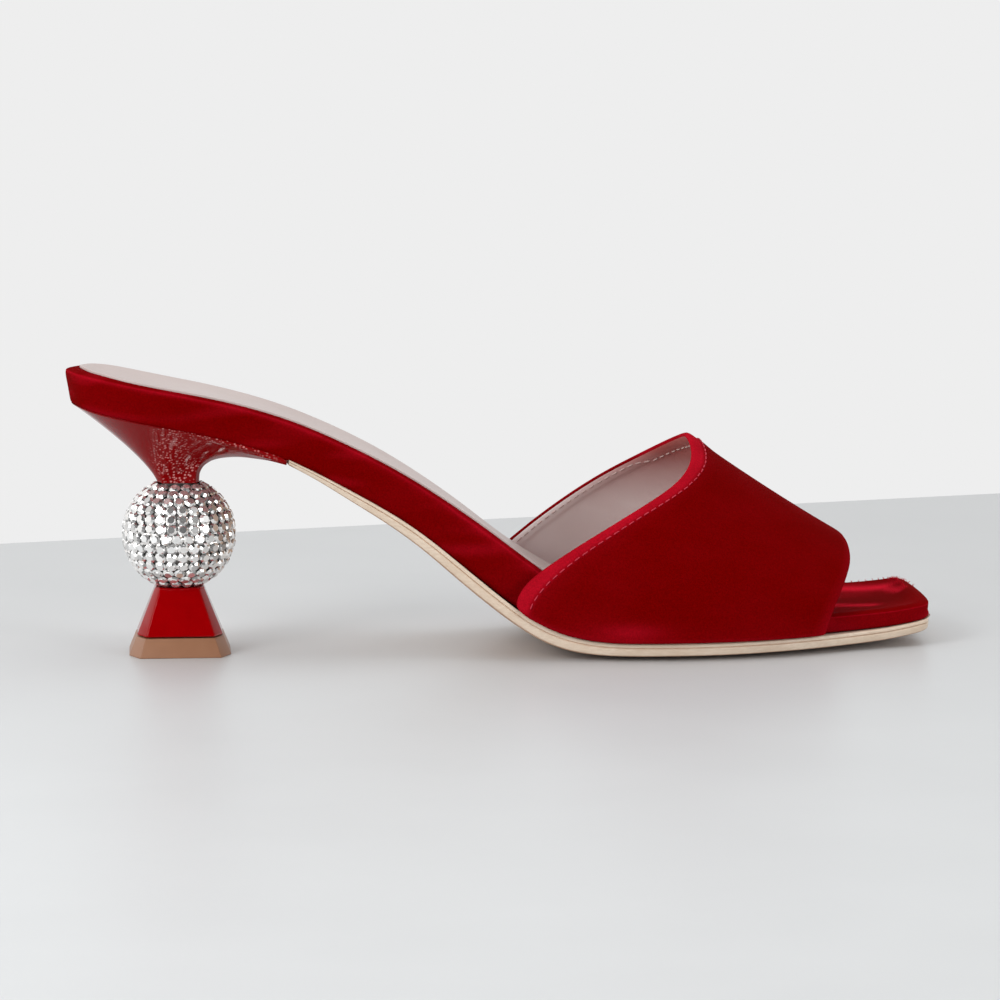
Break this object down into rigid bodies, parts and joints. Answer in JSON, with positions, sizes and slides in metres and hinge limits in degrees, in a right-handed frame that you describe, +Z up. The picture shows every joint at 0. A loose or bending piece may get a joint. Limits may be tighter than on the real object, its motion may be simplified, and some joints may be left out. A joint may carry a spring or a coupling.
{
  "type": "open-toe heeled mule",
  "caption": "Square-toe velvet mule with one wide vamp band, a deep padded footbed and a sculpted heel of lacquered neck, crystal-set ball and flared base",
  "frame": {"origin": "on the floor, under the middle of the shoe's bounding box", "axes": "+X from the heel to the toe, +Y to the inner side of the foot, +Z up from the floor"},
  "size_m": [0.2324, 0.0836, 0.0769],
  "materials": {
    "sole_leather": "smooth nude leather sole with a waxed edge",
    "footbed_velvet": "deep red silk velvet over padding",
    "sock_leather": "pale pink-cream lining leather",
    "vamp_velvet": "deep red silk velvet with a folded, stitched throat edge",
    "neck_lacquer": "glossy red lacquer",
    "ball_crystal": "foil-backed clear round crystals set close together",
    "base_lacquer": "glossy red lacquer with cut corners",
    "lift_rubber": "matt tan top lift"
  },
  "bodies": {
    "root": {"outsole": "sole_leather", "footbed": "footbed_velvet", "sock_lining": "sock_leather", "vamp": "vamp_velvet", "heel_neck": "neck_lacquer", "heel_ball": "ball_crystal", "heel_base": "base_lacquer", "top_lift": "lift_rubber"}
  },
  "joints": []
}
